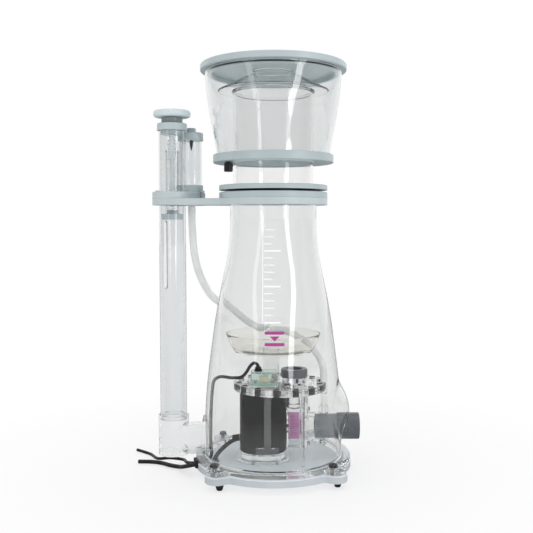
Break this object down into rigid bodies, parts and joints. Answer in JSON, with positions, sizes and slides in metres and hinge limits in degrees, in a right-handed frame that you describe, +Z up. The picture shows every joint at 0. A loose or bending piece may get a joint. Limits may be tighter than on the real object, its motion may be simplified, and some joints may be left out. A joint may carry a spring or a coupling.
{
  "type": "protein skimmer",
  "caption": "Clear wineglass skimmer with a lift-off collection cup, internal needle-wheel pump, adjustable outlet riser and air silencer.",
  "frame": {"origin": "middle of the footprint box on the floor the feet stand on", "axes": "+Z up along the body, +X towards the pump intake socket, -X towards the outlet riser, -Y is the front"},
  "size_m": [0.355, 0.235, 0.6085],
  "materials": {
    "clear_acrylic": "polished cast acrylic, clear with a faint cool tint",
    "grey_pvc": "pale blue-grey machined PVC, satin",
    "dark_pvc": "dark grey pressure-pipe PVC, semi-gloss",
    "black_rubber": "black moulded rubber, matt",
    "black_plastic": "black encapsulated plastic, glossy",
    "cable_jacket": "black PVC cable jacket, satin",
    "silicone_hose": "translucent clear silicone",
    "violet_plastic": "violet moulded plastic",
    "stainless": "stainless steel, turned",
    "circuit_green": "green circuit board",
    "magnet_coat": "coated magnet",
    "ceramic": "white ceramic"
  },
  "bodies": {
    "root": {"skimmer_body": "clear_acrylic", "outlet_elbow": "clear_acrylic", "outlet_pipe": "clear_acrylic", "silencer_tube": "clear_acrylic", "wall_hose_fitting": "clear_acrylic", "venturi_nipple": "clear_acrylic", "volute": "clear_acrylic", "volute_cover": "clear_acrylic", "pump_riser_tube": "clear_acrylic", "pump_plinth": "clear_acrylic", "motor_strap": "clear_acrylic", "diffuser_plate": "clear_acrylic", "diffuser_legs": "clear_acrylic", "bubble_dish": "clear_acrylic", "dish_stem": "clear_acrylic", "screw_bushes": "clear_acrylic", "sensor_housing": "clear_acrylic", "base_plate": "grey_pvc", "body_collar": "grey_pvc", "support_arm": "grey_pvc", "riser_mount_flange": "grey_pvc", "outlet_cap": "grey_pvc", "silencer_base": "grey_pvc", "silencer_cap": "grey_pvc", "intake_pipe": "dark_pvc", "intake_socket": "dark_pvc", "riser_ring": "dark_pvc", "rubber_feet": "black_rubber", "base_o_ring": "black_rubber", "cable_grommet": "black_rubber", "cable_boot": "black_rubber", "motor_housing": "black_plastic", "motor_cable": "cable_jacket", "sensor_cable": "cable_jacket", "air_hose": "silicone_hose", "inner_air_hose": "silicone_hose", "flange_thumb_screws": "stainless", "arm_screws": "stainless", "pump_screws": "stainless", "sensor_board": "circuit_green"},
    "cup_seals": {"cup_gasket": "black_rubber", "neck_o_ring": "black_rubber"},
    "cup": {"cup_collar": "grey_pvc", "cup_neck": "clear_acrylic", "cup_floor_ring": "grey_pvc", "cup_shell": "clear_acrylic", "drain_nozzle": "black_plastic"},
    "lid": {"cup_lid": "grey_pvc", "lid_seal": "black_rubber", "lid_deflector": "clear_acrylic"},
    "drain_cap": {"drain_plug": "black_plastic"},
    "level_dial": {"level_knob": "grey_pvc", "level_spindle": "grey_pvc"},
    "level_valve": {"valve_nut": "grey_pvc", "valve_stem": "clear_acrylic", "valve_disc": "grey_pvc"},
    "air_screw": {"silencer_air_screw": "grey_pvc"},
    "rotor": {"rotor_magnet": "magnet_coat", "pump_shaft": "ceramic", "needle_wheel": "violet_plastic"}
  },
  "joints": [
    {"name": "cup_lift", "type": "slide", "parent": "root", "child": "cup_seals", "axis": [0, 0, 1], "range_m": [0, 0.12]},
    {"name": "cup_turn", "type": "hinge", "parent": "cup_seals", "child": "cup", "pos_m": [0.0473, 0, 0.427], "axis": [0, 0, 1], "range_deg": [0, 40]},
    {"name": "lid_lift", "type": "slide", "parent": "cup", "child": "lid", "axis": [0, 0, 1], "range_m": [0, 0.12]},
    {"name": "drain_plug_pull", "type": "slide", "parent": "cup", "child": "drain_cap", "axis": [0, 0, -1], "range_m": [0, 0.015]},
    {"name": "knob_turn", "type": "hinge", "parent": "root", "child": "level_dial", "pos_m": [-0.104, 0, 0.538], "axis": [0, 0, 1], "range_deg": [0, 1803]},
    {"name": "valve_slide", "type": "slide", "parent": "root", "child": "level_valve", "axis": [0, 0, -1], "range_m": [0, 0.06]},
    {"name": "air_screw_turn", "type": "hinge", "parent": "root", "child": "air_screw", "pos_m": [-0.0784, 0.03, 0.517], "axis": [0, 0, 1], "range_deg": [0, 720]},
    {"name": "needle_wheel_spin", "type": "hinge", "parent": "root", "child": "rotor", "pos_m": [0.0773, 0, 0.0677], "axis": [1, 0, 0], "continuous": true}
  ],
  "couplings": [
    {"joint": "knob_turn", "follows": "valve_slide", "rad_per_m": 523.6}
  ]
}
